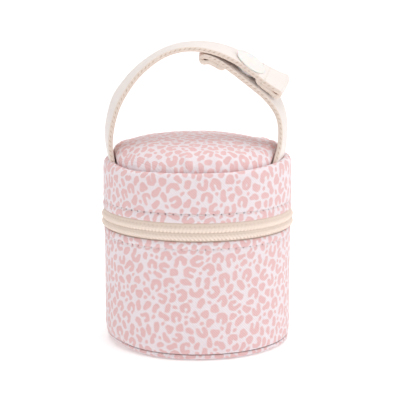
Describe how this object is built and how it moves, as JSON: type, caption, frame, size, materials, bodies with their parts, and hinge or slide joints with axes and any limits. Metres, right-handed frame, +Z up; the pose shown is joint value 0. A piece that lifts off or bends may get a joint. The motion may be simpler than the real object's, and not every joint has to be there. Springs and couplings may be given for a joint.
{
  "type": "formula dispenser",
  "caption": "Small round soft zip case with a snap strap handle on its lid, carrying a tub of powder chambers closed by a rotary pour lid.",
  "frame": {"origin": "centre of the flat underside of the case", "axes": "+Z up, -Y front, +Y the hinge side where the lid stays joined, +X to the right seen from the front"},
  "size_m": [0.0816, 0.0808, 0.1276],
  "materials": {
    "printed_fabric": "light diagonal twill weave",
    "lining_fabric": "plain fine weave",
    "foam_padding": "soft open foam",
    "board": "matt sheet",
    "zipper_tape": "woven tape",
    "zipper_coil": "drawn nylon",
    "slider_metal": "baked enamel",
    "strap_webbing": "smooth coated strap with tan edges",
    "snap_plastic": "polished moulding",
    "tub_plastic": "milky moulding",
    "divider_plastic": "satin moulding",
    "pour_lid_plastic": "satin gloss moulding",
    "seal_rubber": "translucent soft rubber"
  },
  "bodies": {
    "case_body": {"body_shell": "printed_fabric", "base_panel": "printed_fabric", "base_board": "board", "base_foam": "foam_padding", "body_foam": "foam_padding", "body_lining": "lining_fabric", "hinge_panel_lower": "printed_fabric", "zipper_tape_lower": "zipper_tape", "zipper_coil_lower": "zipper_coil", "powder_tub": "tub_plastic", "chamber_divider": "divider_plastic", "seal_ring": "seal_rubber"},
    "lid": {"lid_side_band": "printed_fabric", "lid_top_panel": "printed_fabric", "lid_foam_band": "foam_padding", "lid_foam_top": "foam_padding", "lid_lining": "lining_fabric", "hinge_panel_upper": "printed_fabric", "zipper_tape_upper": "zipper_tape", "zipper_coil_upper": "zipper_coil", "strap_root_left": "strap_webbing", "strap_root_right": "strap_webbing"},
    "slider": {"zipper_slider": "slider_metal"},
    "pull": {"zipper_pull": "slider_metal"},
    "handle": {"strap_long": "strap_webbing", "strap_short": "strap_webbing", "snap_stud": "snap_plastic", "snap_cap_inner": "snap_plastic"},
    "strap_tip": {"strap_long_tip": "strap_webbing", "snap_cap_outer": "snap_plastic", "snap_socket": "snap_plastic"},
    "dial": {"pour_lid": "pour_lid_plastic"}
  },
  "joints": [
    {"name": "lid_hinge", "type": "hinge", "parent": "case_body", "child": "lid", "pos_m": [0, 0.0402, 0.05335], "axis": [-1, 0, 0], "range_deg": [0, 150]},
    {"name": "slider_travel", "type": "hinge", "parent": "case_body", "child": "slider", "pos_m": [0, 0, 0.0531], "axis": [0, 0, 1], "range_deg": [-280, 0]},
    {"name": "pull_swing", "type": "hinge", "parent": "slider", "child": "pull", "pos_m": [0.02844, 0.0339, 0.0531], "axis": [0.766, -0.6428, 0], "range_deg": [0, 165]},
    {"name": "handle_swing", "type": "hinge", "parent": "lid", "child": "handle", "pos_m": [-0.03726, -0.00573, 0.087], "axis": [0.9989, -0.0465, 0], "range_deg": [-48, 75], "stiffness_Nm_per_rad": 0.02},
    {"name": "snap_release", "type": "hinge", "parent": "handle", "child": "strap_tip", "pos_m": [-0.0051, -0.0133, 0.1259], "axis": [0.0084, -0.9962, -0.0868], "range_deg": [0, 80], "stiffness_Nm_per_rad": 0.01},
    {"name": "dial_turn", "type": "hinge", "parent": "case_body", "child": "dial", "pos_m": [0, 0, 0.068], "axis": [0, 0, 1], "continuous": true}
  ]
}
